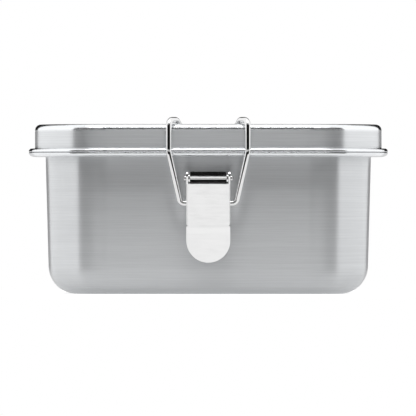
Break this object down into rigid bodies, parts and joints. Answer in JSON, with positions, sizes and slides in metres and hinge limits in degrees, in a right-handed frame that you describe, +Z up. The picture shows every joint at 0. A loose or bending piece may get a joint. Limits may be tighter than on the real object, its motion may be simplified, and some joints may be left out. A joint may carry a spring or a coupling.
{
  "type": "lunch box",
  "caption": "Rectangular stainless steel lunch box with rounded corners, a lift-off pan lid with a silicone seal, and an over-centre wire latch on each long side.",
  "frame": {"origin": "centre of the base's underside, on the surface it stands on", "axes": "+X along the long side, +Z up, -Y towards the front latch"},
  "size_m": [0.17, 0.1324, 0.0834],
  "materials": {
    "base_steel": "brushed along the long side",
    "lid_steel": "brushed along the long side",
    "seal": "translucent white silicone",
    "latch_sheet": "polished stainless steel",
    "latch_pin": "polished stainless steel",
    "latch_wire": "polished spring wire"
  },
  "bodies": {
    "box": {"base": "base_steel", "front_bracket": "latch_sheet", "front_hinge_pin": "latch_pin", "rear_bracket": "latch_sheet", "rear_hinge_pin": "latch_pin"},
    "lid": {"lid": "lid_steel", "lid_gasket": "seal"},
    "front_lever": {"front_lever": "latch_sheet"},
    "front_bail": {"front_bail": "latch_wire"},
    "rear_lever": {"rear_lever": "latch_sheet"},
    "rear_bail": {"rear_bail": "latch_wire"}
  },
  "joints": [
    {"name": "lid_lift", "type": "slide", "parent": "box", "child": "lid", "axis": [0, 0, 1], "range_m": [0, 0.06]},
    {"name": "front_lever_hinge", "type": "hinge", "parent": "box", "child": "front_lever", "pos_m": [0, -0.06195, 0.0546], "axis": [-1, 0, 0], "range_deg": [0, 120]},
    {"name": "front_bail_hinge", "type": "hinge", "parent": "front_lever", "child": "front_bail", "pos_m": [0, -0.05965, 0.0428], "axis": [-1, 0, 0], "range_deg": [-165, 0], "deforming": ["front_bail"]},
    {"name": "rear_lever_hinge", "type": "hinge", "parent": "box", "child": "rear_lever", "pos_m": [0, 0.06195, 0.0546], "axis": [1, 0, 0], "range_deg": [0, 120]},
    {"name": "rear_bail_hinge", "type": "hinge", "parent": "rear_lever", "child": "rear_bail", "pos_m": [0, 0.05965, 0.0428], "axis": [1, 0, 0], "range_deg": [-165, 0], "deforming": ["rear_bail"]}
  ],
  "couplings": [
    {"joint": "front_lever_hinge", "follows": "lid_lift", "rad_per_m": 34.906},
    {"joint": "front_bail_hinge", "follows": "lid_lift", "rad_per_m": -47.996},
    {"joint": "rear_lever_hinge", "follows": "lid_lift", "rad_per_m": 34.906},
    {"joint": "rear_bail_hinge", "follows": "lid_lift", "rad_per_m": -47.996}
  ]
}
